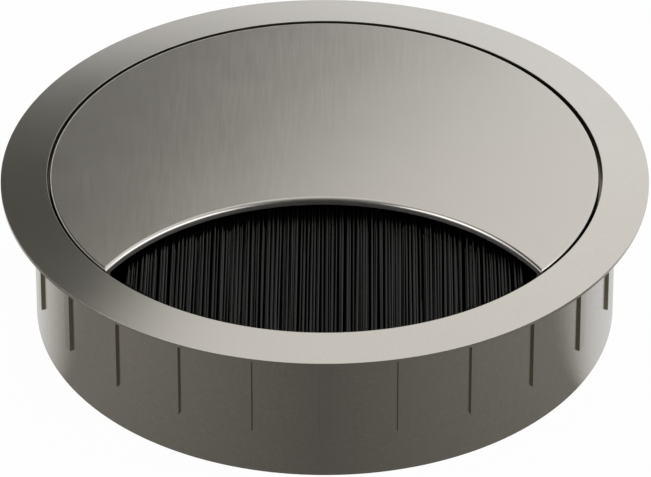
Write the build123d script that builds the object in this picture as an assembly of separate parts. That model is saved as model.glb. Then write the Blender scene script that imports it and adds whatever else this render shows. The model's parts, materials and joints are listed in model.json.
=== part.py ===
from build123d import *
import math
import os

# A round desk cable grommet: a cast ring that drops into a drilled hole, and a cover that rests in it.
# The cover has a crescent bitten out for the cables, closed by a strip brush screwed beneath the cover.
# All sizes are in millimetres. The origin is on the ring's axis at the lower edge of its skirt.
# +Z is up, and the cable opening is on the -Y side.

# Ring
desk_hole_radius = 40.0
hole_clearance = 0.4
flange_lap = 4.0
total_height = 22.0
flange_drop = 0.5
rim_thickness = 0.5
skirt_wall = 1.6
recess_step = 0.3
ledge_width = 1.3
ledge_thickness = 1.4
skirt_draft = 0.1
skirt_edge_chamfer = 0.4
rim_edge_chamfer = 0.15
recess_edge_chamfer = 0.2

# Crush ribs around the skirt
rib_count = 24
rib_width = 0.9
rib_height = 0.6
rib_lower_end = 6.7

# Cover
cover_gap = 0.35
plate_thickness = 1.0
collar_drop = 0.6
collar_width = 1.0
cover_edge_chamfer = 0.2
bite_radius = 33.6
bite_reach = 6.1
bite_edge_round = 0.4

# Strip brush: hairpin tufts folded round a core wire and gripped in a folded channel
brush_length = 54.6
brush_setback = 7.1
channel_depth = 5.0
channel_wall = 0.4
channel_bend = 0.3
leg_thickness = 0.77
tuft_width = 0.42
tuft_pitch = 0.55
core_wire_radius = 0.8
wire_end_inset = 0.5
tuft_clearance = 0.03
tip_gap = 0.4

# Holder that carries the brush beneath the cover
holder_top_wall = 0.6
holder_wall = 1.2
holder_lip = 0.5
holder_edge_round = 0.5
channel_clearance = 0.05
tab_thickness = 1.9
tab_margin = 0.4

# Screws and their bosses beneath the cover
screw_spacing = 40.0
screw_radius = 1.1
screw_bite = 2.8
screw_head_radius = 2.1
screw_head_height = 1.5
head_chamfer = 0.6
recess_width = 0.6
recess_length = 2.4
recess_depth = 0.8
boss_wall = 1.3
boss_fillet = 0.5
boss_to_holder = 0.1
pilot_clearance = 0.05
tab_hole_clearance = 0.2
pilot_end_room = 0.4

# Ring, worked out
skirt_radius = desk_hole_radius - hole_clearance
bore_radius = skirt_radius - skirt_wall
recess_radius = bore_radius - recess_step
ledge_radius = recess_radius - ledge_width
flange_radius = desk_hole_radius + flange_lap
rim_top = total_height - flange_drop
seat_height = rim_top - rim_thickness
plate_underside = total_height - plate_thickness
ledge_top = plate_underside - collar_drop
ledge_bottom = ledge_top - ledge_thickness

# Cover, worked out
cover_radius = recess_radius - cover_gap
bite_centre = -(bite_reach + bite_radius)

# Brush, worked out
loop_inner = core_wire_radius + tuft_clearance
loop_outer = loop_inner + leg_thickness
channel_inside = 2 * (loop_outer + tuft_clearance)
channel_height = channel_inside + 2 * channel_wall
channel_top = plate_underside - holder_top_wall - channel_clearance
channel_bottom = channel_top - channel_height
brush_level = (channel_top + channel_bottom) / 2
channel_front = brush_setback - bite_reach
channel_back = channel_front + channel_depth
loop_centre = channel_back - channel_wall - tuft_clearance - loop_outer
trim_radius = ledge_radius - tip_gap
tuft_count = int((brush_length - tuft_width) / tuft_pitch) + 1

# Holder and screws, worked out
holder_front = channel_front - channel_clearance - holder_lip
holder_back = channel_back + channel_clearance + holder_wall
holder_bottom = channel_bottom - channel_clearance - holder_wall
tab_top = holder_bottom + tab_thickness
pilot_radius = screw_radius + pilot_clearance
boss_radius = pilot_radius + boss_wall
screw_line = holder_back + boss_to_holder + boss_fillet + boss_radius
screw_places = [Pos(side * screw_spacing / 2, screw_line) for side in (-1, 1)]


def shaped_outline(points, rounds=(), chamfers=()):
    """A face from corner points, with the named corners rounded or chamfered."""
    face = make_face(Polyline(*points, close=True))
    for corner, radius in rounds:
        face = fillet(face.vertices().sort_by_distance(corner)[0], radius)
    for corner, length in chamfers:
        face = chamfer(face.vertices().sort_by_distance(corner)[0], length)
    return face


def turned(outline):
    """A solid of revolution about Z from an outline of (radius, height) points."""
    return revolve(Plane.XZ * outline, axis=Axis.Z)


def rectangle(low, high):
    """A rectangle between two opposite corners."""
    width, height = high[0] - low[0], high[1] - low[1]
    return Pos((low[0] + high[0]) / 2, (low[1] + high[1]) / 2) * Rectangle(width, height)


def along_x(outline, length):
    """A bar of the given (y, z) outline, centred on X."""
    return extrude(Plane.YZ * outline, amount=length / 2, both=True)


def make_ring():
    """Flange, skirt and the ledge for the cover in one turned casting, with crush ribs round the skirt.

    The skirt's lowest stretch is straight and pilots the ring into the hole. Draft widens it above that.
    """
    outline = shaped_outline(
        [
            (bore_radius, 0),
            (skirt_radius, 0),
            (skirt_radius, rib_lower_end),
            (skirt_radius + skirt_draft, seat_height),
            (flange_radius, seat_height),
            (flange_radius, rim_top),
            (recess_radius, total_height),
            (recess_radius, ledge_top),
            (ledge_radius, ledge_top),
            (ledge_radius, ledge_bottom),
            (bore_radius, ledge_bottom - (bore_radius - ledge_radius)),
        ],
        chamfers=[
            ((skirt_radius, 0), skirt_edge_chamfer),
            ((flange_radius, rim_top), rim_edge_chamfer),
            ((recess_radius, total_height), recess_edge_chamfer),
        ],
    )
    root = skirt_wall / 2
    rib = Pos(skirt_radius + (rib_height - root) / 2, 0, rib_lower_end) * Box(
        root + rib_height,
        rib_width,
        seat_height - rib_lower_end,
        align=(Align.CENTER, Align.CENTER, Align.MIN),
    )
    ribs = [Rot(0, 0, 360 * number / rib_count) * rib for number in range(rib_count)]
    return turned(outline) + ribs


def bite_cutter():
    """The cable opening's cutter, flared at the top so that it leaves a rounded edge."""
    wall = bite_radius - bite_edge_round
    below, above = ledge_top - plate_thickness, total_height + plate_thickness
    sides = Polyline(
        (bite_radius, total_height),
        (bite_radius, above),
        (0, above),
        (0, below),
        (wall, below),
        (wall, total_height - bite_edge_round),
    )
    flare = CenterArc((bite_radius, total_height - bite_edge_round), bite_edge_round, 90, 90)
    return Pos(0, bite_centre) * turned(make_face([*sides.edges(), flare]))


def make_cover():
    """A thin plate on a collar that rests on the ledge, with the bite and two screw bosses beneath."""
    collar_radius = cover_radius - collar_width
    outline = shaped_outline(
        [
            (0, total_height),
            (cover_radius, total_height),
            (cover_radius, ledge_top),
            (collar_radius, ledge_top),
            (collar_radius, plate_underside),
            (0, plate_underside),
        ],
        chamfers=[((cover_radius, total_height), cover_edge_chamfer)],
    )
    boss = turned(
        shaped_outline(
            [
                (pilot_radius, tab_top),
                (boss_radius, tab_top),
                (boss_radius, plate_underside - boss_fillet),
                (boss_radius + boss_fillet, plate_underside),
                (boss_radius + boss_fillet, plate_underside + plate_thickness / 2),
                (0, plate_underside + plate_thickness / 2),
                (0, tab_top + screw_bite + pilot_end_room),
                (pilot_radius, tab_top + screw_bite + pilot_end_room),
            ]
        )
    )
    return turned(outline) - bite_cutter() + [place * boss for place in screw_places]


def make_holder():
    """A moulded bar with a lipped slot for the brush channel and two screw tabs behind it."""
    bar = shaped_outline(
        [
            (holder_front, holder_bottom),
            (holder_back, holder_bottom),
            (holder_back, plate_underside),
            (holder_front, plate_underside),
        ],
        [
            ((holder_front, holder_bottom), holder_edge_round),
            ((holder_back, holder_bottom), holder_edge_round),
        ],
    )
    slot = rectangle(
        (channel_front - channel_clearance, channel_bottom - channel_clearance),
        (channel_back + channel_clearance, channel_top + channel_clearance),
    )
    mouth = rectangle(
        (holder_front - holder_lip, channel_bottom + channel_wall),
        (channel_front, channel_top - channel_wall),
    )
    tab_radius = screw_head_radius + tab_margin
    tab_root = holder_back - holder_wall / 2
    tab = rectangle((-tab_radius, tab_root - screw_line), (tab_radius, 0))
    tab = tab + Circle(tab_radius) - Circle(screw_radius + tab_hole_clearance)
    tabs = [Pos(0, 0, holder_bottom) * place * extrude(tab, amount=tab_thickness) for place in screw_places]
    return along_x(bar - slot - mouth, brush_length) + tabs


def make_channel():
    """The folded metal channel that grips the tufts."""
    outer_bend = channel_bend + channel_wall
    outer = shaped_outline(
        [
            (channel_front, channel_bottom),
            (channel_back, channel_bottom),
            (channel_back, channel_top),
            (channel_front, channel_top),
        ],
        [((channel_back, channel_bottom), outer_bend), ((channel_back, channel_top), outer_bend)],
    )
    inner_back = channel_back - channel_wall
    inner_low, inner_high = channel_bottom + channel_wall, channel_top - channel_wall
    inner = shaped_outline(
        [
            (channel_front - channel_wall, inner_low),
            (inner_back, inner_low),
            (inner_back, inner_high),
            (channel_front - channel_wall, inner_high),
        ],
        [((inner_back, inner_low), channel_bend), ((inner_back, inner_high), channel_bend)],
    )
    return along_x(outer - inner, brush_length)


def make_core_wire():
    """The wire that the tufts are folded round."""
    section = Pos(loop_centre, brush_level) * Circle(core_wire_radius)
    return along_x(section, brush_length - 2 * wire_end_inset)


def make_tuft(across):
    """One hairpin tuft at the given x, trimmed to the round of the ring's inside."""
    outermost = abs(across) + tuft_width / 2
    tip = -math.sqrt(trim_radius**2 - outermost**2)
    root = Pos(loop_centre, brush_level)
    outer = rectangle((tip, brush_level - loop_outer), (loop_centre, brush_level + loop_outer))
    inner = rectangle((tip, brush_level - loop_inner), (loop_centre, brush_level + loop_inner))
    outer_bend = root * RegularPolygon(loop_outer, 8, major_radius=False, rotation=22.5)
    inner_bend = root * RegularPolygon(loop_inner, 8, major_radius=False, rotation=22.5)
    hairpin = outer + outer_bend - inner - inner_bend
    return Pos(across, 0, 0) * along_x(hairpin, tuft_width)


def make_bristles():
    """All the tufts, side by side along the brush."""
    middle = (tuft_count - 1) / 2
    tufts = [make_tuft((number - middle) * tuft_pitch) for number in range(tuft_count)]
    return Compound([solid for tuft in tufts for solid in tuft.solids()])


def make_screws():
    """Two pan-head screws with a cross recess, driven up through the tabs into the bosses."""
    head_low = holder_bottom - screw_head_height
    outline = shaped_outline(
        [
            (0, head_low),
            (screw_head_radius, head_low),
            (screw_head_radius, holder_bottom),
            (screw_radius, holder_bottom),
            (screw_radius, tab_top + screw_bite),
            (0, tab_top + screw_bite),
        ],
        chamfers=[((screw_head_radius, head_low), head_chamfer)],
    )
    cross = Rectangle(recess_length, recess_width) + Rectangle(recess_width, recess_length)
    recess = Pos(0, 0, head_low) * extrude(cross, amount=recess_depth)
    screw = turned(outline) - recess
    return Compound([solid for place in screw_places for solid in (place * screw).solids()])


nodes = {
    "outer_ring": make_ring(),
    "cover": make_cover(),
    "brush_holder": make_holder(),
    "brush_channel": make_channel(),
    "core_wire": make_core_wire(),
    "bristles": make_bristles(),
    "holder_screws": make_screws(),
}

os.makedirs("parts", exist_ok=True)
for name, shape in nodes.items():
    export_step(shape, f"parts/{name}.step")
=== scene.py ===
import json
import math
import random

import bpy
from mathutils import Matrix, Vector

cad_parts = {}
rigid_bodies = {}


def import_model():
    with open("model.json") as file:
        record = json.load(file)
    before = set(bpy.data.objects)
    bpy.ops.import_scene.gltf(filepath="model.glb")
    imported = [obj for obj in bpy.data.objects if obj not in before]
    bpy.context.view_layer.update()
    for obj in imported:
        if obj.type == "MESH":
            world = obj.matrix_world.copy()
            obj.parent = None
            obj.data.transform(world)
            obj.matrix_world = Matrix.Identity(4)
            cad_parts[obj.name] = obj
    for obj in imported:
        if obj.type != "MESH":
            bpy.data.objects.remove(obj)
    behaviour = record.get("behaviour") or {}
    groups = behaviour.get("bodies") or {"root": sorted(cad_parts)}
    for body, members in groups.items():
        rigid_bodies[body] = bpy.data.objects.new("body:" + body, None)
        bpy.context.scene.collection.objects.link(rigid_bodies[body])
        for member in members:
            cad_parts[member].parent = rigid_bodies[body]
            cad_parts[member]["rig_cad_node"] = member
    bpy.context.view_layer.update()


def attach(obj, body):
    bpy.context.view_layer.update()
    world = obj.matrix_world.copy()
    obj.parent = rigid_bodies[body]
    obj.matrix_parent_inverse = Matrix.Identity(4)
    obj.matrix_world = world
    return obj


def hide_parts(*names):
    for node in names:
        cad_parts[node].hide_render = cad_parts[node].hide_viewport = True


# A round desk cable grommet: a cast ring in satin nickel, a brushed cover that rests in it,
# and a black strip brush that closes the cover's opening.
# Sizes are in metres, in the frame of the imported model. +Z is up, and the opening is on the -Y side.
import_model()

MM = 0.001
draws = random.Random(5)

# How close corners lie to a level or a circle to count as on it, and to one another to be merged
level_slack = 0.01 * MM
loop_slack = 0.02 * MM
weld_distance = 0.001 * MM

# Edges flatter than these angles, in degrees, are shaded smooth
smooth_angle = 35
fibre_smooth_angle = 80

# Ring
total_height = 22.0 * MM
flange_radius = 44.0 * MM
flange_drop = 0.5 * MM
rim_thickness = 0.5 * MM
skirt_radius = 39.6 * MM
skirt_wall = 1.6 * MM
recess_radius = 37.7 * MM
ledge_radius = 36.4 * MM
ledge_thickness = 1.4 * MM
round_segments = 288
rim_round = 0.03 * MM
recess_round = 0.05 * MM
skirt_edge_round = 0.25 * MM
inner_edge_round = 0.2 * MM
edge_segments = 4
small_round_segments = 2

# Crush ribs round the skirt: the lead turns them all, in degrees
rib_count = 24
rib_lead = 0.35
rib_width = 1.4 * MM
rib_crest_radius = 39.97 * MM
rib_root_depth = 0.6 * MM
rib_lower_end = 6.7 * MM
rib_edge_round = 0.06 * MM

# Cover
cover_radius = 37.29 * MM
cover_shift = -0.05 * MM
plate_thickness = 1.0 * MM
collar_drop = 0.6 * MM
collar_width = 1.0 * MM
cover_edge_round = 0.35 * MM
bite_radius = 33.6 * MM
bite_centre = -39.7 * MM
bite_edge_round = 0.5 * MM
bite_segments = 384
bite_edge_steps = 7

# Bosses beneath the cover
boss_radius = 2.45 * MM
boss_root = 0.5 * MM
boss_low = 16.94 * MM
pilot_radius = 1.15 * MM
pilot_depth = 3.2 * MM
boss_segments = 64
screw_spacing = 40.0 * MM
screw_line = 10.3 * MM

# Strip brush: hairpin fibres folded round the core wire. The offset of its rows is a share of the pitch.
brush_level = 18.32 * MM
loop_centre = 3.97 * MM
channel_mouth = 1.0 * MM
trim_radius = 36.0 * MM
brush_half_width = 26.4 * MM
fibre_radius = 0.2 * MM
fibre_pitch = 0.47 * MM
fibre_row_radii = (1.02 * MM, 1.41 * MM)
fibre_row_offset = 0.12
fibre_sides = 6
fibre_tip_length = 0.5 * MM
fibre_tip_share = 0.4
fibre_leg_steps = 5
fibre_turn_steps = 5

# How the fibres stray: drift, lift and sway are usual amounts, which some fibres pass, and the curves
# are the powers by which lift and sway grow from the channel's mouth to the tips
fibre_thickness = (0.74, 1.1)
fibre_drift = 0.102 * MM
fibre_lift = 0.21 * MM
fibre_lift_curve = 0.5
fibre_sway = 0.08 * MM
fibre_sway_curve = 1.4
fibre_trim_error = 0.25 * MM
end_flare = 0.3 * MM
end_flare_reach = 8.0 * MM

# Parts copied from the solids: edges under the flat angle are merged away, and those over the sharp
# angle get small rounds, both in degrees
flat_angle = 1
sharp_angle = 40
holder_edge_round = 0.15 * MM
channel_edge_round = 0.04 * MM
wire_edge_round = 0.05 * MM
screw_edge_round = 0.05 * MM

# Finishes: each pair of colours is that of the low and the high marks
white = (1, 1, 1)
marks_share = 0.6
clouds_per_metre = 110
noise_range = (0.3, 0.7)
ring_colours = ((0.6, 0.58, 0.55), (0.635, 0.615, 0.583))
cast_marks = (2000, 2000, 2600)
cast_roughness = 0.21
cast_colours = ((0.588, 0.568, 0.538), (0.647, 0.627, 0.595))
cover_colours = ((0.588, 0.566, 0.534), (0.613, 0.592, 0.559))
polish_colour = (0.64, 0.62, 0.59)
polish_roughness = 0.24
cut_wall_roughness = 0.42
# Painted shade: near-black in the gap round the cover
painted_gap_shade = (0.012, 0.011, 0.01)
seam_roughness = 0.6
# Painted shade in the ring's recess round the cover's edge
recess_painted_shade = (0.23, 0.21, 0.16)
recess_roughness = 0.35
# Painted shade on the ribs' flanks, which face round the ring
rib_flank_painted_shade = (0.35, 0.325, 0.245)
rib_flank_roughness = 0.3
rib_flank_share = 0.7

# How far inside its edge each mask starts: the polished cut, and the painted shade in the gap and the
# recess
cut_mask_slack = 0.03 * MM
seam_mask_reach = 0.2 * MM
recess_mask_reach = 0.1 * MM

# Camera: its places are in metres, and its lens and sensor in millimetres
camera_place = (0.0045, -0.7175, 0.5076)
camera_target = (0.0001, 0, 0.01088)
camera_lens = 352.9
camera_sensor = 36
camera_reach = 20

# Studio: angles are in degrees, azimuth 0 is +Y and 90 is +X. The side card's edge is a row of
# (elevation, azimuth) pairs. The floor card is dark in front, and behind a line from each hub it
# grows paler round that hub.
floor_size = 6.0
floor_grey = 0.96
# Painted shade: the floor inside the ring is near-black
floor_hole_painted_shade = 0.01
floor_whiteness = 0.97
room_light = 0.62
card_distance = 0.3
card_columns = 9
side_card_distance = 0.29
side_card_edge = ((24.5, -34), (26.6, -4), (30, 10), (36, 0), (46, -12), (56, -28), (70, -46))
side_card_softness = 4
side_card_far_edge = -90
side_card_tone = (0.064, 0.061, 0.05)
overhead_reach = (36, 180)
overhead_half_width = 27
overhead_rows = 16
overhead_colour = (1, 0.985, 0.95)
overhead_tones = (1.0, 0.05)
overhead_shading = (31, 160)
floor_card_height = 0.05 * MM
floor_card_warmth = (1, 0.96, 0.87)
floor_card_tones = (0.12, 0.22)
floor_card_hub = (31.0 * MM, -20.0 * MM)
floor_card_side_tones = (0.22, 0.75)
floor_card_side_angles = (13, 68)
floor_card_right_lead = 17
lamp_distance = 0.5
lamp_radiance = 1.0
lamps = (
    {"azimuth": 108, "elevation": 28, "width": 56, "height": 30},
    {"azimuth": -127, "elevation": 28, "width": 42, "height": 30},
)

rim_top = total_height - flange_drop
seat_height = rim_top - rim_thickness
bore_radius = skirt_radius - skirt_wall
plate_underside = total_height - plate_thickness
ledge_top = plate_underside - collar_drop
ledge_bottom = ledge_top - ledge_thickness


def add_primitive(operator, **settings):
    """Adds one primitive with nothing else selected, and returns its object."""
    bpy.ops.object.select_all(action="DESELECT")
    operator(**settings)
    return bpy.context.object


def settle(piece, name):
    """Names a piece and puts its place into its mesh."""
    bpy.ops.object.transform_apply(location=True, rotation=True, scale=True)
    piece.name = name
    piece.data.name = name


def add_object(name, data):
    """Puts a new object into the scene, with the mesh, lens or light that it shows."""
    added = bpy.data.objects.new(name, data)
    bpy.context.scene.collection.objects.link(added)
    return added


def pick(piece):
    """Makes one piece the active one, with nothing else selected."""
    bpy.ops.object.select_all(action="DESELECT")
    bpy.context.view_layer.objects.active = piece
    piece.select_set(True)


def select_parts(piece, kind, test):
    """Enters edit mode with the vertices, edges or faces selected whose every corner passes the test."""
    pick(piece)
    mesh = piece.data
    for part in (*mesh.vertices, *mesh.edges, *mesh.polygons):
        part.select = False
    bpy.context.tool_settings.mesh_select_mode = [kind == each for each in ("VERT", "EDGE", "FACE")]
    parts = {"VERT": mesh.vertices, "EDGE": mesh.edges, "FACE": mesh.polygons}[kind]
    for part in parts:
        corners = [part.index] if kind == "VERT" else part.vertices
        part.select = all(test(mesh.vertices[corner].co) for corner in corners)
    bpy.ops.object.mode_set(mode="EDIT")


def leave_edit():
    """Goes back to object mode."""
    bpy.ops.object.mode_set(mode="OBJECT")


def on_loop(radius, height, centre_x=0.0):
    """A test for corners that lie on a level circle."""
    def test(place):
        from_axis = math.hypot(place.x - centre_x, place.y)
        return abs(from_axis - radius) < loop_slack and abs(place.z - height) < loop_slack
    return test


def close_seams():
    """In edit mode, merges doubled corners and turns every face outwards."""
    bpy.ops.mesh.select_all(action="SELECT")
    bpy.ops.mesh.remove_doubles(threshold=weld_distance)
    bpy.ops.mesh.normals_make_consistent(inside=False)


def draw_out(*step):
    """In edit mode, extrudes what is selected by a step along X, Y and Z."""
    bpy.ops.mesh.extrude_region_move(TRANSFORM_OT_translate={"value": step})


def grow_loops(outline, centre=(0.0, 0.0)):
    """In edit mode, carries the selected circle through the (radius, height) corners of an outline."""
    for (radius, height), (next_radius, next_height) in zip(outline, outline[1:]):
        draw_out(0, 0, next_height - height)
        share = next_radius / radius
        bpy.ops.transform.resize(value=(share, share, 1), center_override=(*centre, next_height))


def turned_piece(name, outline, segments):
    """A closed ring grown from one circle round an outline, with a facet facing +X."""
    first_radius, first_height = outline[0]
    piece = add_primitive(
        bpy.ops.mesh.primitive_circle_add,
        vertices=segments,
        radius=first_radius,
        location=(0, 0, first_height),
        rotation=(0, 0, math.pi / segments),
    )
    settle(piece, name)
    bpy.ops.object.mode_set(mode="EDIT")
    bpy.ops.mesh.select_all(action="SELECT")
    grow_loops([*outline, outline[0]])
    close_seams()
    leave_edit()
    return piece


def round_loop(piece, radius, height, size, centre_x=0.0):
    """Rounds the edge that runs along a level circle."""
    select_parts(piece, "EDGE", on_loop(radius, height, centre_x))
    bpy.ops.mesh.bevel(offset=size, segments=edge_segments, affect="EDGES")
    leave_edit()


def combine(piece, other, operation):
    """Adds or cuts the other piece, which is then removed."""
    change = piece.modifiers.new("combine", "BOOLEAN")
    change.operation = operation
    change.solver = "EXACT"
    change.object = other
    bpy.context.view_layer.objects.active = piece
    bpy.ops.object.modifier_apply(modifier=change.name)
    bpy.data.objects.remove(other)


def smooth(piece, angle=smooth_angle):
    """Shades a piece smooth across its rounds, with its flats kept flat."""
    pick(piece)
    bpy.ops.object.shade_smooth_by_angle(angle=math.radians(angle))
    flats = piece.modifiers.new("flats", "WEIGHTED_NORMAL")
    flats.keep_sharp = True
    bpy.ops.object.modifier_apply(modifier=flats.name)


def join(pieces, name):
    """Joins separate bodies into one piece."""
    bpy.ops.object.select_all(action="DESELECT")
    for piece in pieces:
        piece.select_set(True)
    bpy.context.view_layer.objects.active = pieces[0]
    bpy.ops.object.join()
    pieces[0].name = name
    pieces[0].data.name = name
    return pieces[0]


def copied(piece, place):
    """A copy with its own mesh, moved by a matrix."""
    copy = piece.copy()
    copy.data = piece.data.copy()
    copy.data.transform(place)
    bpy.context.scene.collection.objects.link(copy)
    return copy


def make_ribs():
    """Crush ribs, rooted in the skirt and the flange, all round apart from the two sides."""
    root = skirt_radius - rib_root_depth
    top = seat_height + rim_thickness / 2
    rib = add_primitive(
        bpy.ops.mesh.primitive_cube_add,
        size=1,
        location=((root + rib_crest_radius) / 2, 0, (rib_lower_end + top) / 2),
        scale=(rib_crest_radius - root, rib_width, top - rib_lower_end),
    )
    settle(rib, "rib")
    select_parts(rib, "EDGE", lambda place: place.x > skirt_radius)
    bpy.ops.mesh.bevel(offset=rib_edge_round, segments=small_round_segments, affect="EDGES")
    leave_edit()
    angles = [math.tau * number / rib_count for number in range(rib_count) if number % (rib_count // 2)]
    ribs = join([copied(rib, Matrix.Rotation(angle, 4, "Z")) for angle in angles], "ribs")
    bpy.data.objects.remove(rib)
    ribs.data.transform(Matrix.Rotation(math.radians(rib_lead), 4, "Z"))
    return ribs


def make_ring():
    """Flange, skirt and ledge in one casting."""
    outline = [
        (bore_radius, 0),
        (skirt_radius, 0),
        (skirt_radius, seat_height),
        (flange_radius, seat_height),
        (flange_radius, rim_top),
        (recess_radius, total_height),
        (recess_radius, ledge_top),
        (ledge_radius, ledge_top),
        (ledge_radius, ledge_bottom),
        (bore_radius, ledge_bottom - (bore_radius - ledge_radius)),
    ]
    ring = turned_piece("cast_ring", outline, round_segments)
    round_loop(ring, skirt_radius, 0, skirt_edge_round)
    round_loop(ring, bore_radius, 0, inner_edge_round)
    round_loop(ring, flange_radius, seat_height, rim_round)
    round_loop(ring, flange_radius, rim_top, rim_round)
    round_loop(ring, recess_radius, total_height, recess_round)
    round_loop(ring, ledge_radius, ledge_top, inner_edge_round)
    round_loop(ring, ledge_radius, ledge_bottom, inner_edge_round)
    combine(ring, make_ribs(), "UNION")
    smooth(ring)
    return ring


def make_bite_cutter():
    """A cylinder that flares at its top, to leave a rounded edge along the opening."""
    wall = bite_radius - bite_edge_round
    low, round_start = ledge_top - plate_thickness, total_height - bite_edge_round
    cutter = add_primitive(
        bpy.ops.mesh.primitive_cylinder_add,
        vertices=bite_segments,
        radius=wall,
        depth=round_start - low,
        location=(0, bite_centre, (round_start + low) / 2),
    )
    settle(cutter, "bite_cutter")
    select_parts(cutter, "FACE", lambda place: place.z > round_start - level_slack)
    turns = [math.pi / 2 * step / bite_edge_steps for step in range(bite_edge_steps + 1)]
    flare = [
        (
            bite_radius - bite_edge_round * math.cos(turn),
            round_start + bite_edge_round * math.sin(turn),
        )
        for turn in turns
    ]
    grow_loops([*flare, (bite_radius, total_height + plate_thickness)], (0, bite_centre))
    leave_edit()
    return cutter


def make_boss(across):
    """A hollow boss for a screw, with a cone at its root."""
    top = plate_underside + plate_thickness / 2
    boss = add_primitive(
        bpy.ops.mesh.primitive_cylinder_add,
        vertices=boss_segments,
        radius=boss_radius,
        depth=plate_underside - boss_root - boss_low,
        location=(across, screw_line, (plate_underside - boss_root + boss_low) / 2),
    )
    settle(boss, "boss")
    select_parts(boss, "FACE", lambda place: place.z > boss_low + level_slack)
    flare = [
        (boss_radius, plate_underside - boss_root),
        (boss_radius + boss_root, plate_underside),
        (boss_radius + boss_root, top),
    ]
    grow_loops(flare, (across, screw_line))
    leave_edit()
    select_parts(boss, "FACE", lambda place: place.z < boss_low + level_slack)
    bpy.ops.mesh.inset(thickness=boss_radius - pilot_radius)
    draw_out(0, 0, pilot_depth)
    leave_edit()
    return boss


def make_cover():
    """A thin plate on a collar, with the bite and two screw bosses beneath."""
    cover = add_primitive(
        bpy.ops.mesh.primitive_cylinder_add,
        vertices=round_segments,
        radius=cover_radius,
        depth=total_height - ledge_top,
        location=(cover_shift, 0, (total_height + ledge_top) / 2),
        rotation=(0, 0, math.pi / round_segments),
    )
    settle(cover, "brushed_cover")
    select_parts(cover, "FACE", lambda place: place.z < ledge_top + level_slack)
    bpy.ops.mesh.inset(thickness=collar_width)
    draw_out(0, 0, collar_drop)
    leave_edit()
    round_loop(cover, cover_radius, total_height, cover_edge_round, cover_shift)
    combine(cover, make_bite_cutter(), "DIFFERENCE")
    for side in (-1, 1):
        combine(cover, make_boss(side * screw_spacing / 2), "UNION")
    smooth(cover)
    return cover


def make_hairpin(row_radius):
    """One fibre: a leg, half a turn round the core wire, and a leg back, with tapered tips."""
    low, high = brush_level - row_radius, brush_level + row_radius
    fibre = add_primitive(
        bpy.ops.mesh.primitive_circle_add,
        vertices=fibre_sides,
        radius=fibre_radius,
        fill_type="NGON",
        location=(0, -trim_radius, high),
        rotation=(math.pi / 2, 0, 0),
    )
    settle(fibre, "fibre")
    bpy.ops.object.mode_set(mode="EDIT")
    bpy.ops.mesh.select_all(action="SELECT")
    run = (channel_mouth + trim_radius - fibre_tip_length) / fibre_leg_steps
    leg = [fibre_tip_length, *[run] * fibre_leg_steps, loop_centre - channel_mouth]
    for step in leg:
        draw_out(0, step, 0)
    bpy.ops.mesh.spin(
        steps=fibre_turn_steps, angle=-math.pi, center=(0, loop_centre, brush_level), axis=(1, 0, 0)
    )
    for step in reversed(leg):
        draw_out(0, -step, 0)
    close_seams()
    leave_edit()
    taper = (fibre_tip_share, 1, fibre_tip_share)
    tips = -trim_radius + level_slack
    for level in (high, low):
        select_parts(fibre, "VERT", lambda place: place.y < tips and abs(place.z - level) < row_radius)
        bpy.ops.transform.resize(value=taper, center_override=(0, -trim_radius, level))
        leave_edit()
    return fibre


def lay_fibre(mesh, across):
    """Moves one hairpin to its place, trims its legs to the round of the ring, and lets them stray."""
    side = math.copysign(1, across)
    to_end = max(0, 1 - (brush_half_width - abs(across)) / end_flare_reach)
    flare = side * end_flare * to_end**2
    thickness = draws.uniform(*fibre_thickness)
    start = across + draws.gauss(0, fibre_drift)
    # The upper leg's strays, then the lower leg's
    strays = [
        (
            draws.gauss(fibre_lift, fibre_lift),
            draws.gauss(0, fibre_sway) + flare,
            draws.uniform(0, fibre_trim_error),
        )
        for _ in range(2)
    ]
    for corner in mesh.vertices:
        place = corner.co
        lift, sway, short = strays[place.z < brush_level]
        from_middle = min(abs(across + sway) + fibre_radius, trim_radius)
        tip = math.sqrt(trim_radius**2 - from_middle**2) - short
        place.x = start + place.x * thickness
        if place.y < channel_mouth:
            share = (channel_mouth - place.y) / (channel_mouth + trim_radius)
            place.y = channel_mouth - share * (channel_mouth + tip)
            place.z += lift * share**fibre_lift_curve
            place.x += sway * share**fibre_sway_curve


def make_bristles():
    """The whole brush: two rows of hairpins, one nested in the other."""
    count = int(2 * brush_half_width / fibre_pitch)
    laid = []
    for row, row_radius in enumerate(fibre_row_radii):
        pattern = make_hairpin(row_radius)
        for number in range(count):
            across = (number - (count - 1) / 2 + (row - 0.5) * fibre_row_offset) * fibre_pitch
            fibre = copied(pattern, Matrix.Identity(4))
            lay_fibre(fibre.data, across)
            laid.append(fibre)
        bpy.data.objects.remove(pattern)
    brush = join(laid, "brush_fibres")
    smooth(brush, fibre_smooth_angle)
    return brush


def finished_copy(node, name, edge_round):
    """A copy of a part that needs no new shape, with its sharp edges rounded."""
    solid = next(each for each in bpy.data.objects if each.get("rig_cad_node") == node)
    piece = add_object(name, solid.data.copy())
    select_parts(piece, "FACE", lambda place: True)
    close_seams()
    bpy.ops.mesh.dissolve_limited(angle_limit=math.radians(flat_angle))
    leave_edit()
    rounding = piece.modifiers.new("rounding", "BEVEL")
    rounding.width = edge_round
    rounding.segments = small_round_segments
    rounding.limit_method = "ANGLE"
    rounding.angle_limit = math.radians(sharp_angle)
    bpy.ops.object.modifier_apply(modifier=rounding.name)
    smooth(piece)
    return piece


def add_node(tree, kind, settings=None, **inputs):
    """Adds a shader node, with its settings and with the values or links of its inputs."""
    node = tree.nodes.new(kind)
    for name, value in (settings or {}).items():
        setattr(node, name, value)
    for name, value in inputs.items():
        join_input(tree, node.inputs[name.replace("_", " ")], value)
    return node


def join_input(tree, socket, value):
    """Links an input to another node's output, or gives it a plain value."""
    if isinstance(value, bpy.types.NodeSocket):
        tree.links.new(value, socket)
    else:
        socket.default_value = value


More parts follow.
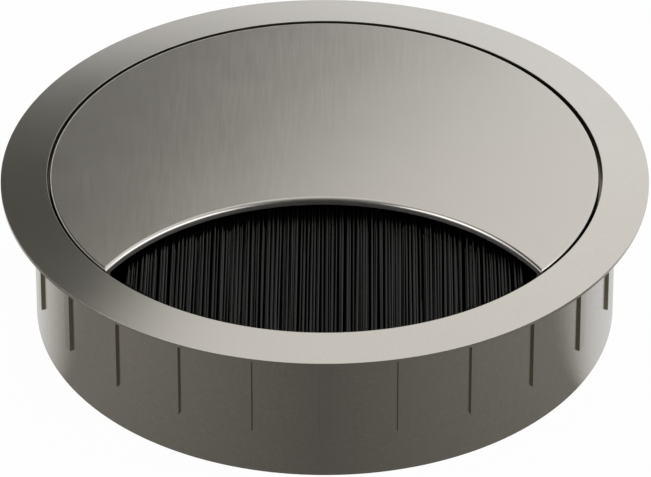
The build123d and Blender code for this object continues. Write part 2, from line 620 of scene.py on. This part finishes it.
def calculate(tree, operation, *values):
    """The result of one Math node."""
    node = add_node(tree, "ShaderNodeMath", {"operation": operation})
    for socket, value in zip(node.inputs, values):
        join_input(tree, socket, value)
    return node.outputs[0]


def spread(tree, value, low, high, start=0.0, end=1.0, shape="LINEAR"):
    """Carries a value that runs from start to end over to one that runs from low to high."""
    node = add_node(
        tree,
        "ShaderNodeMapRange",
        {"interpolation_type": shape},
        Value=value,
        From_Min=start,
        From_Max=end,
        To_Min=low,
        To_Max=high,
    )
    return node.outputs["Result"]


def mix(tree, kind, share, first, second):
    """A value between two others of one kind, by the Mix node's sockets for that kind."""
    *given, result = {"RGBA": (0, 6, 7, 2), "FLOAT": (0, 2, 3, 0)}[kind]
    node = add_node(tree, "ShaderNodeMix", {"data_type": kind})
    for number, value in zip(given, (share, first, second)):
        join_input(tree, node.inputs[number], value)
    return node.outputs[result]


def blend(tree, share, first, second):
    """A colour between two others."""
    colours = [(*colour, 1) if isinstance(colour, tuple) else colour for colour in (first, second)]
    return mix(tree, "RGBA", share, *colours)


def between(tree, share, first, second):
    """A number between two others."""
    return mix(tree, "FLOAT", share, first, second)


def own_place(tree):
    """Where a point of the surface lies, in its object's own frame."""
    return tree.nodes.new("ShaderNodeTexCoord").outputs["Object"]


def split(tree, vector):
    """The X, Y and Z of a vector."""
    return add_node(tree, "ShaderNodeSeparateXYZ", Vector=vector).outputs


def distance_from(tree, place, centre_y=0.0):
    """How far a place lies from an upright axis on the Y line."""
    corners = split(tree, place)
    along = calculate(tree, "SUBTRACT", corners["Y"], centre_y)
    across = calculate(tree, "MULTIPLY", corners["X"], corners["X"])
    return calculate(tree, "SQRT", calculate(tree, "MULTIPLY_ADD", along, along, across))


def show_mix(tree, share, first, second):
    """Shows two shaders on the surface, mixed by a share."""
    both = tree.nodes.new("ShaderNodeMixShader")
    for socket, value in zip(both.inputs, (share, first, second)):
        tree.links.new(value, socket)
    tree.links.new(both.outputs[0], tree.nodes["Material Output"].inputs["Surface"])


def new_group(name, inputs, outputs):
    """A node group with its named inputs and outputs, given as (name, socket type) pairs."""
    group = bpy.data.node_groups.new(name, "ShaderNodeTree")
    for label, kind in inputs:
        group.interface.new_socket(label, in_out="INPUT", socket_type=kind)
    for label, kind in outputs:
        group.interface.new_socket(label, in_out="OUTPUT", socket_type=kind)
    return group, group.nodes.new("NodeGroupInput"), group.nodes.new("NodeGroupOutput")


def make_grain():
    """Fine marks drawn out along an axis, and soft clouds over the whole surface, both from 0 to 1."""
    group, given, result = new_group(
        "grain",
        [("Marks per metre", "NodeSocketVector")],
        [("Marks", "NodeSocketFloat"), ("Clouds", "NodeSocketFloat")],
    )
    place = own_place(group)
    drawn = add_node(group, "ShaderNodeMapping", Vector=place, Scale=given.outputs[0])
    noise = "ShaderNodeTexNoise"
    fine = add_node(group, noise, Vector=drawn.outputs[0], Scale=1, Detail=3, Roughness=0.6)
    broad = add_node(group, noise, Vector=place, Scale=clouds_per_metre, Detail=2, Roughness=0.5)
    group.links.new(spread(group, fine.outputs[0], 0, 1, *noise_range), result.inputs["Marks"])
    group.links.new(spread(group, broad.outputs[0], 0, 1, *noise_range), result.inputs["Clouds"])


def make_gap_shade_mask():
    """A mask for painted shade in a narrow gap: 1 between two radii and below a height, and 0 elsewhere.
    """
    group, given, result = new_group(
        "seam_shade",
        [(label, "NodeSocketFloat") for label in ("Inner radius", "Outer radius", "Top")],
        [("Shade", "NodeSocketFloat")],
    )
    place = own_place(group)
    height = split(group, place)["Z"]
    from_axis = distance_from(group, place)
    beyond = calculate(group, "GREATER_THAN", from_axis, given.outputs["Inner radius"])
    within = calculate(group, "LESS_THAN", from_axis, given.outputs["Outer radius"])
    below = calculate(group, "LESS_THAN", height, given.outputs["Top"])
    shade = calculate(group, "MULTIPLY", calculate(group, "MULTIPLY", beyond, within), below)
    group.links.new(shade, result.inputs["Shade"])


def new_material(name):
    """A material with nodes, and its tree and main shader."""
    material = bpy.data.materials.new(name)
    material.use_nodes = True
    return material, material.node_tree, material.node_tree.nodes["Principled BSDF"]


def place_group(tree, name, **inputs):
    """Places a shared effect in a material, with its own values, and returns what it puts out."""
    return add_node(tree, "ShaderNodeGroup", {"node_tree": bpy.data.node_groups[name]}, **inputs).outputs


def grained(name, colours, roughness, marks_per_metre, relief, metallic=1.0, specular=0.5):
    """A material whose relief follows its marks, and whose colour and roughness its marks and clouds."""
    material, tree, shader = new_material(name)
    grain = place_group(tree, "grain", Marks_per_metre=marks_per_metre)
    marks = grain["Marks"]
    soft = calculate(tree, "MULTIPLY", grain["Clouds"], 1 - marks_share)
    mixed = calculate(tree, "MULTIPLY_ADD", marks, marks_share, soft)
    tree.links.new(blend(tree, mixed, *colours), shader.inputs["Base Color"])
    tree.links.new(spread(tree, mixed, *roughness), shader.inputs["Roughness"])
    bump = add_node(tree, "ShaderNodeBump", Strength=1, Distance=relief, Height=marks)
    tree.links.new(bump.outputs[0], shader.inputs["Normal"])
    shader.inputs["Metallic"].default_value = metallic
    shader.inputs["Specular IOR Level"].default_value = specular
    return material


def lay_over(material, mask, colour, roughness):
    """Lays another finish over a material where a mask is 1."""
    tree = material.node_tree
    shader = tree.nodes["Principled BSDF"]
    under_colour = shader.inputs["Base Color"].links[0].from_socket
    under_roughness = shader.inputs["Roughness"].links[0].from_socket
    tree.links.new(blend(tree, mask, under_colour, colour), shader.inputs["Base Color"])
    tree.links.new(between(tree, mask, under_roughness, roughness), shader.inputs["Roughness"])


def paint_gap_shade(material, inner_radius, outer_radius, top, colour, roughness):
    """Paints shade into a material in a narrow gap, between two radii and below a height."""
    tree = material.node_tree
    seam = place_group(tree, "seam_shade", Inner_radius=inner_radius, Outer_radius=outer_radius, Top=top)
    lay_over(material, seam["Shade"], colour, roughness)


def satin_nickel():
    """The ring's metal: satin above, as cast below, with painted shade on the ribs' flanks and in the
    recess.
    """
    material = grained(
        "satin_nickel",
        colours=ring_colours,
        roughness=(0.19, 0.215),
        marks_per_metre=(2600, 2600, 2600),
        relief=0.0002 * MM,
    )
    tree = material.node_tree
    surface = tree.nodes.new("ShaderNodeTexCoord").outputs
    corners, facing = split(tree, surface["Object"]), split(tree, surface["Normal"])
    cast = place_group(tree, "grain", Marks_per_metre=cast_marks)
    below = calculate(tree, "LESS_THAN", corners["Z"], seat_height)
    lay_over(material, below, blend(tree, cast["Marks"], *cast_colours), cast_roughness)
    # A flank faces round the ring, where the skirt faces out from its axis
    one_way = calculate(tree, "MULTIPLY", corners["X"], facing["Y"])
    other_way = calculate(tree, "MULTIPLY", corners["Y"], facing["X"])
    sideways = calculate(tree, "ABSOLUTE", calculate(tree, "SUBTRACT", one_way, other_way))
    flank = calculate(tree, "GREATER_THAN", sideways, skirt_radius * rib_flank_share)
    # Painted shade on the flanks
    lay_over(material, flank, rib_flank_painted_shade, rib_flank_roughness)
    # Painted shade in the recess between the ring and the cover's edge
    paint_gap_shade(
        material,
        inner_radius=ledge_radius - recess_mask_reach,
        outer_radius=recess_radius + recess_round / 2,
        top=total_height - recess_round / 2,
        colour=recess_painted_shade,
        roughness=recess_roughness,
    )
    return material


def brushed_nickel():
    """The cover's metal: brushed from back to front, with the cut edge of the bite polished, and painted
    shade in the gap round its edge.
    """
    material = grained(
        "brushed_nickel",
        colours=cover_colours,
        roughness=(0.235, 0.265),
        marks_per_metre=(2400, 160, 900),
        relief=0.0006 * MM,
    )
    tree = material.node_tree
    place = own_place(tree)
    from_centre = distance_from(tree, place, bite_centre)
    on_cut = calculate(tree, "LESS_THAN", from_centre, bite_radius - cut_mask_slack)
    height = split(tree, place)["Z"]
    round_start = total_height - bite_edge_round
    polish_start = round_start + bite_edge_round / 2
    cut_roughness = spread(tree, height, cut_wall_roughness, polish_roughness, round_start, polish_start)
    lay_over(material, on_cut, polish_colour, cut_roughness)
    # Painted shade in the gap round the cover's edge
    paint_gap_shade(
        material,
        inner_radius=cover_radius - seam_mask_reach,
        outer_radius=recess_radius,
        top=total_height - cover_edge_round,
        colour=painted_gap_shade,
        roughness=seam_roughness,
    )
    return material


def black_nylon():
    """The fibres: glossy black, with faint lines along them."""
    return grained(
        "black_nylon",
        colours=((0.0005, 0.0005, 0.0005), (0.006, 0.006, 0.0055)),
        roughness=(0.04, 0.17),
        marks_per_metre=(2400, 30, 1200),
        relief=0.0001 * MM,
        metallic=0,
        specular=0.22,
    )


def moulded_black():
    """The holder: black moulded plastic with a fine spark-eroded texture."""
    return grained(
        "moulded_black",
        colours=((0.01, 0.01, 0.0105), (0.02, 0.02, 0.021)),
        roughness=(0.36, 0.5),
        marks_per_metre=(3200, 3200, 3200),
        relief=0.004 * MM,
        metallic=0,
    )


def galvanised_strip():
    """The channel: zinc-coated strip, with rolling lines along it."""
    return grained(
        "galvanised_strip",
        colours=((0.46, 0.47, 0.48), (0.64, 0.65, 0.66)),
        roughness=(0.26, 0.42),
        marks_per_metre=(140, 3600, 3600),
        relief=0.0006 * MM,
    )


def drawn_steel():
    """The core wire, with the lines of the drawing die along it."""
    return grained(
        "drawn_steel",
        colours=((0.36, 0.355, 0.345), (0.54, 0.535, 0.52)),
        roughness=(0.22, 0.36),
        marks_per_metre=(120, 7000, 7000),
        relief=0.0005 * MM,
    )


def zinc_plate():
    """The screws: bright zinc, a little cloudy."""
    return grained(
        "zinc_plate",
        colours=((0.5, 0.515, 0.53), (0.68, 0.695, 0.71)),
        roughness=(0.18, 0.34),
        marks_per_metre=(1800, 1800, 1800),
        relief=0.0008 * MM,
    )


def dress(piece, material):
    """Gives a piece its one material."""
    piece.data.materials.clear()
    piece.data.materials.append(material)


def make_camera():
    """The photograph's view: a long lens in front, looking down."""
    camera = add_object("camera", bpy.data.cameras.new("camera"))
    towards = Vector(camera_target) - Vector(camera_place)
    turn = towards.to_track_quat("-Z", "Y").to_matrix().to_4x4()
    camera.matrix_world = Matrix.Translation(camera_place) @ turn
    camera.data.sensor_width = camera_sensor
    camera.data.lens = camera_lens
    camera.data.clip_end = camera_reach
    bpy.context.scene.camera = camera


def direction(azimuth, elevation):
    """A unit vector: azimuth 0 is +Y and 90 is +X, and elevation is above the floor, in degrees."""
    turn, rise = math.radians(azimuth), math.radians(elevation)
    return Vector((math.sin(turn) * math.cos(rise), math.cos(turn) * math.cos(rise), math.sin(rise)))


def overhead(arc, side):
    """A unit vector: arc runs from +Y over the top to -Y, and side leans it towards +X, in degrees."""
    rise, lean = math.radians(arc), math.radians(side)
    return Vector((math.sin(lean), math.cos(lean) * math.cos(rise), math.cos(lean) * math.sin(rise)))


def steps_between(first, last, count):
    """Evenly spaced numbers, with both ends among them."""
    return [first + (last - first) * step / (count - 1) for step in range(count)]


def make_card(name, rows, material):
    """A card that is seen in reflections alone, curved through rows of corners."""
    width = len(rows[0])
    starts = [row * width + column for row in range(len(rows) - 1) for column in range(width - 1)]
    faces = [(start, start + 1, start + width + 1, start + width) for start in starts]
    mesh = bpy.data.meshes.new(name)
    mesh.from_pydata([corner for row in rows for corner in row], [], faces)
    card = add_object(name, mesh)
    dress(card, material)
    card.visible_camera = False
    card.visible_diffuse = False
    card.visible_shadow = False
    card.visible_transmission = False
    return card


def card_material(name, colour):
    """A glowing material for a card, and its tree and shader."""
    material, tree, shader = new_material(name)
    tree.nodes.remove(shader)
    glow = add_node(tree, "ShaderNodeEmission", Color=(*colour, 1), Strength=1)
    tree.links.new(glow.outputs[0], tree.nodes["Material Output"].inputs["Surface"])
    return material, tree, glow


def make_side_card():
    """The dark card behind and to the left, whose soft slanting edge shades the metal's left side."""
    rows = []
    for elevation, edge in side_card_edge:
        inner = steps_between(edge - side_card_softness, side_card_far_edge, card_columns)
        azimuths = [edge + side_card_softness, *inner]
        rows.append([direction(azimuth, elevation) * side_card_distance for azimuth in azimuths])
    material, tree, glow = card_material("side_card", side_card_tone)
    solidity = add_node(tree, "ShaderNodeAttribute", {"attribute_name": "solidity"})
    clear = tree.nodes.new("ShaderNodeBsdfTransparent")
    show_mix(tree, solidity.outputs["Fac"], clear.outputs[0], glow.outputs[0])
    card = make_card("side_card", rows, material)
    # Each row is clear at its first corner and solid from its second
    corners = card.data.attributes.new("solidity", "FLOAT", "POINT").data
    for number, corner in enumerate(corners):
        corner.value = min(1, number % len(rows[0]))


def make_overhead_card():
    """A curved card from above the object down to the floor in front, darker towards the front."""
    sides = steps_between(-overhead_half_width, overhead_half_width, card_columns)
    arcs = steps_between(*overhead_reach, overhead_rows)
    rows = [[overhead(arc, side) * card_distance for side in sides] for arc in arcs]
    material, tree, glow = card_material("overhead_card", overhead_colour)
    corners = split(tree, own_place(tree))
    arc = calculate(tree, "ARCTAN2", corners["Z"], corners["Y"])
    start, end = (math.radians(angle) for angle in overhead_shading)
    tree.links.new(spread(tree, arc, *overhead_tones, start, end, "SMOOTHSTEP"), glow.inputs["Strength"])
    make_card("overhead_card", rows, material)


def make_floor_card():
    """A sheet on the floor that the skirt mirrors: dark in front and white behind, with soft sides, and
    black inside the ring as painted shade.
    """
    ends = (-card_distance, card_distance)
    rows = [[(x, y, floor_card_height) for x in ends] for y in ends]
    material, tree, glow = card_material("floor_card", floor_card_warmth)
    place = own_place(tree)
    corners = split(tree, place)
    aside = calculate(tree, "ABSOLUTE", corners["X"])
    turn = calculate(tree, "ARCTAN2", aside, calculate(tree, "MULTIPLY", corners["Y"], -1))
    front = spread(tree, turn, *floor_card_tones)
    hub_x, hub_y = floor_card_hub
    from_hub_x = calculate(tree, "SUBTRACT", aside, hub_x)
    from_hub_y = calculate(tree, "SUBTRACT", corners["Y"], hub_y)
    fan = calculate(tree, "ARCTAN2", from_hub_y, from_hub_x)
    lead = calculate(tree, "GREATER_THAN", corners["X"], 0)
    fan = calculate(tree, "MULTIPLY_ADD", lead, math.radians(floor_card_right_lead), fan)
    start, end = (math.radians(angle) for angle in floor_card_side_angles)
    side = spread(tree, fan, *floor_card_side_tones, start, end, "SMOOTHSTEP")
    behind = calculate(tree, "GREATER_THAN", fan, start)
    tone = between(tree, behind, front, side)
    # Inside the ring the card is black: painted shade
    outside = calculate(tree, "GREATER_THAN", distance_from(tree, place), bore_radius)
    tree.links.new(calculate(tree, "MULTIPLY", tone, outside), glow.inputs["Strength"])
    paleness = spread(tree, tone, 0, 1, *floor_card_side_tones)
    tree.links.new(blend(tree, paleness, floor_card_warmth, white), glow.inputs["Color"])
    make_card("floor_card", rows, material)


def make_lamp(azimuth, elevation, width, height):
    """A soft box at the side, given by its angles and its angular width and height."""
    data = bpy.data.lights.new("soft_box", "AREA")
    data.shape = "RECTANGLE"
    data.size = 2 * lamp_distance * math.tan(math.radians(width / 2))
    data.size_y = 2 * lamp_distance * math.tan(math.radians(height / 2))
    data.energy = lamp_radiance * math.pi * data.size * data.size_y
    lamp = add_object("soft_box", data)
    place = direction(azimuth, elevation) * lamp_distance
    lamp.matrix_world = Matrix.Translation(place) @ place.to_track_quat("Z", "Y").to_matrix().to_4x4()


def seen_directly(tree):
    """1 for camera, glossy and transmission rays, and 0 for the light that falls on things."""
    ray = tree.nodes.new("ShaderNodeLightPath").outputs
    mirrored = calculate(tree, "MAXIMUM", ray["Is Glossy Ray"], ray["Is Transmission Ray"])
    return calculate(tree, "MAXIMUM", ray["Is Camera Ray"], mirrored)


def make_floor():
    """A floor that looks white and keeps a soft shadow, with painted shade inside the ring, near-black
    where the desk's hole would be.
    """
    floor = add_primitive(bpy.ops.mesh.primitive_plane_add, size=floor_size)
    floor.name = "floor"
    material, tree, shader = new_material("pale_floor")
    shader.inputs["Roughness"].default_value = 1
    shader.inputs["Specular IOR Level"].default_value = 0
    outside = calculate(tree, "GREATER_THAN", distance_from(tree, own_place(tree)), bore_radius)
    greys = ((floor_hole_painted_shade,) * 3, (floor_grey,) * 3)
    tree.links.new(blend(tree, outside, *greys), shader.inputs["Base Color"])
    glow = add_node(tree, "ShaderNodeEmission", Color=(*white, 1), Strength=1)
    white_share = calculate(tree, "MULTIPLY", outside, floor_whiteness)
    share = calculate(tree, "MULTIPLY", seen_directly(tree), white_share)
    show_mix(tree, share, shader.outputs[0], glow.outputs[0])
    dress(floor, material)


def make_world():
    """A white room for the camera and for reflections, and a plain level of light on the piece."""
    world = bpy.data.worlds.new("studio")
    world.use_nodes = True
    world.cycles.sampling_method = "NONE"
    tree = world.node_tree
    background = tree.nodes["Background"]
    background.inputs["Color"].default_value = (*white, 1)
    tree.links.new(spread(tree, seen_directly(tree), room_light, 1), background.inputs["Strength"])
    bpy.context.scene.world = world


make_grain()
make_gap_shade_mask()
ring = make_ring()
cover = make_cover()
dress(ring, satin_nickel())
dress(cover, brushed_nickel())
brush = make_bristles()
dress(brush, black_nylon())
holder = finished_copy("brush_holder", "moulded_holder", holder_edge_round)
channel = finished_copy("brush_channel", "folded_channel", channel_edge_round)
wire = finished_copy("core_wire", "drawn_wire", wire_edge_round)
screws = finished_copy("holder_screws", "pan_head_screws", screw_edge_round)
dress(holder, moulded_black())
dress(channel, galvanised_strip())
dress(wire, drawn_steel())
dress(screws, zinc_plate())
for piece, node, slot in (
    (ring, "outer_ring", "ring_metal"),
    (cover, "cover", "cover_metal"),
    (brush, "bristles", "bristle_nylon"),
    (holder, "brush_holder", "holder_plastic"),
    (channel, "brush_channel", "channel_steel"),
    (wire, "core_wire", "wire_steel"),
    (screws, "holder_screws", "screw_steel"),
):
    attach(piece, "root")
    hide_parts(node)
make_side_card()
make_overhead_card()
make_floor_card()
for lamp in lamps:
    make_lamp(**lamp)
make_floor()
make_world()
make_camera()

bpy.context.scene.view_settings.view_transform = "Standard"
